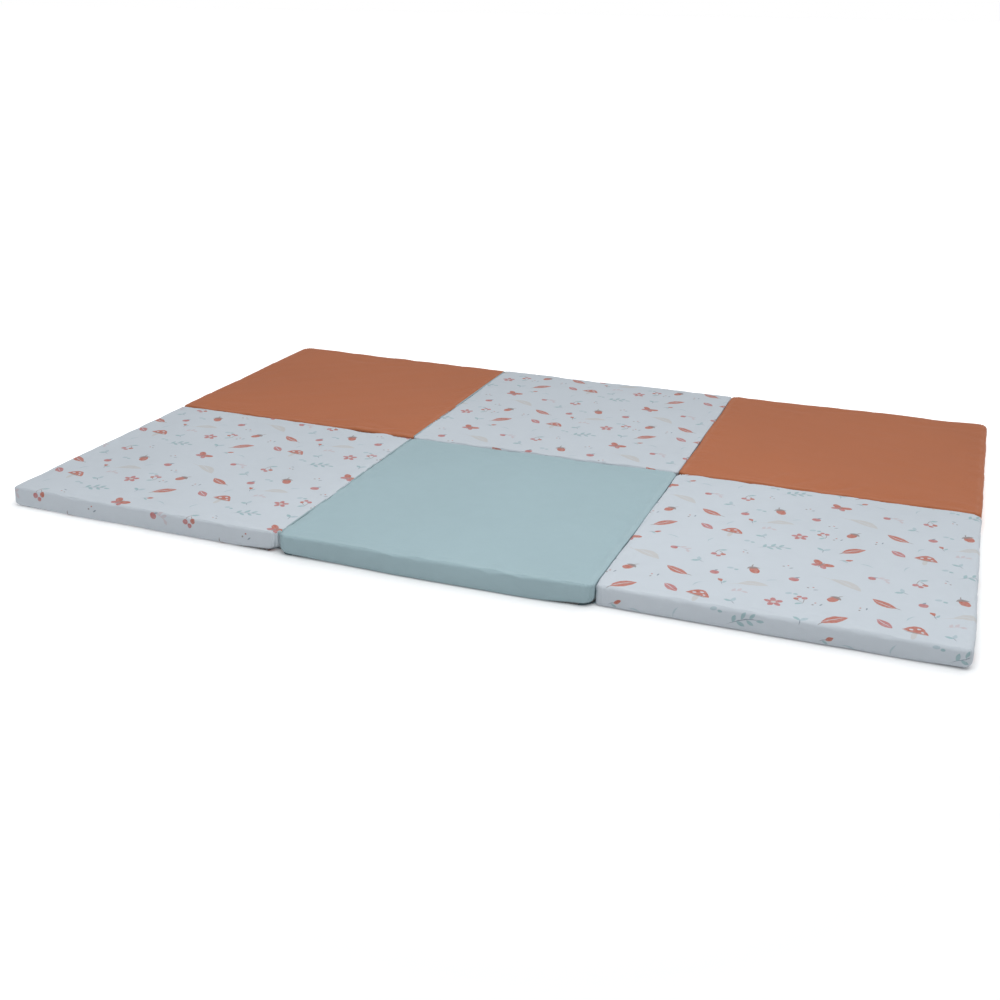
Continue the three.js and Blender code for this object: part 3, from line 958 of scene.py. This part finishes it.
cloths = dict(
    printed=printed_cloth("printed_cotton", (0.50, 0.54, 0.58)),
    terracotta=plain_cloth("terracotta_cotton", (0.405, 0.135, 0.060)),
    sage=plain_cloth("sage_cotton", (0.315, 0.42, 0.45)),
    tape=tape_cloth("hinge_tape", (0.285, 0.375, 0.40)),
)

# The mat

settled = settle(PANELS)
for panel in PANELS:
    cover = sew_cover(panel, settled)
    cover.data.materials.append(cloths[panel["cloth"]])
    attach(cover, "root")
    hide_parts(panel["name"])

for hinge, (kind, *neighbours) in TAPES.items():
    tape, flat_size = sew_tape(hinge, kind)
    tape.data.materials.append(cloths["tape"])
    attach(tape, "root")
    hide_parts(hinge)
    [f"panel_{place}_cover" for place in neighbours]

# Floor, camera and light

bpy.ops.mesh.primitive_plane_add(size=2000, location=(0.3, -0.9, 0))
floor = bpy.context.object
floor.name = "floor"
paper = Finish(bpy.data.materials.new("floor_paper"))
paper.feed("Base Color", (0.80, 0.80, 0.80, 1))
paper.feed("Roughness", 1.0)
paper.feed("Emission Strength", 1.0)
# The paper is lit a little more away from its origin before the mat, so that it stays as pale to the horizon
away = paper.vector("LENGTH", paper.place(), output="Value")
reach = {"From Min": 0.6, "From Max": 1.7, "To Min": 0.10, "To Max": 0.52}
paper.feed("Emission Color", paper.node("MapRange", {}, {"Value": away, **reach}))
floor.data.materials.append(paper.owner)

CAMERA_PLACE = (0.81375, -2.48331, 0.94634)
FOCAL_LENGTH = 1.2831  # in widths of the picture
yaw, pitch, roll = math.radians(-20.036), math.radians(21.234), math.radians(0.968)
forward = Vector((math.sin(yaw) * math.cos(pitch), math.cos(yaw) * math.cos(pitch), -math.sin(pitch)))
right = Vector((math.cos(yaw), -math.sin(yaw), 0))
up = right.cross(forward)
right, up = math.cos(roll) * right + math.sin(roll) * up, -math.sin(roll) * right + math.cos(roll) * up
camera_data = bpy.data.cameras.new("camera")
camera_data.sensor_width = 36
camera_data.lens = FOCAL_LENGTH * camera_data.sensor_width
camera_data.clip_start, camera_data.clip_end = 0.05, 100
camera = bpy.data.objects.new("camera", camera_data)
bpy.context.collection.objects.link(camera)
turned = Matrix((right, up, -forward)).transposed().to_4x4()
camera.matrix_world = Matrix.Translation(CAMERA_PLACE) @ turned
bpy.context.scene.camera = camera

# The studio is white at the horizon and a pale grey above
studio = Finish(bpy.data.worlds.new("studio"), "Background")
rise = studio.node("SeparateXYZ", {}, {"Vector": studio.place("Generated")}, "Z")
band = studio.node("MapRange", {}, {"Value": rise, "From Min": 0.04, "From Max": 0.16})
studio.feed("Color", studio.blend(band, (1.0, 1.0, 1.0, 1), (0.24, 0.253, 0.27, 1)))
bpy.context.scene.world = studio.owner


def lamp(name, kind, place, aim, power, colour, **sizes):
    light = bpy.data.lights.new(name, kind)
    light.energy, light.color = power, colour
    for key, value in sizes.items():
        setattr(light, key, value)
    holder = bpy.data.objects.new(name, light)
    bpy.context.collection.objects.link(holder)
    holder.location = place
    holder.rotation_mode = "QUATERNION"
    holder.rotation_quaternion = (Vector(aim) - Vector(place)).to_track_quat("-Z", "Y")
    return holder


lamp("ceiling", "SUN", (0.6, 1.4, 4.0), (0, 0, 0), 1.62, (1.0, 0.995, 0.985), angle=math.radians(60))
lamp("softbox_over", "AREA", (0.4, -0.9, 1.9), (0.05, -0.5, 0), 19.5, (0.97, 0.99, 1.0),
     shape="DISK", size=1.4)
lamp("softbox_left", "AREA", (-0.9, -2.0, 0.7), (-0.35, -0.6, 0), 1.1, (1.0, 0.98, 0.97),
     shape="DISK", size=0.8)
bpy.context.scene.view_settings.view_transform = "Standard"
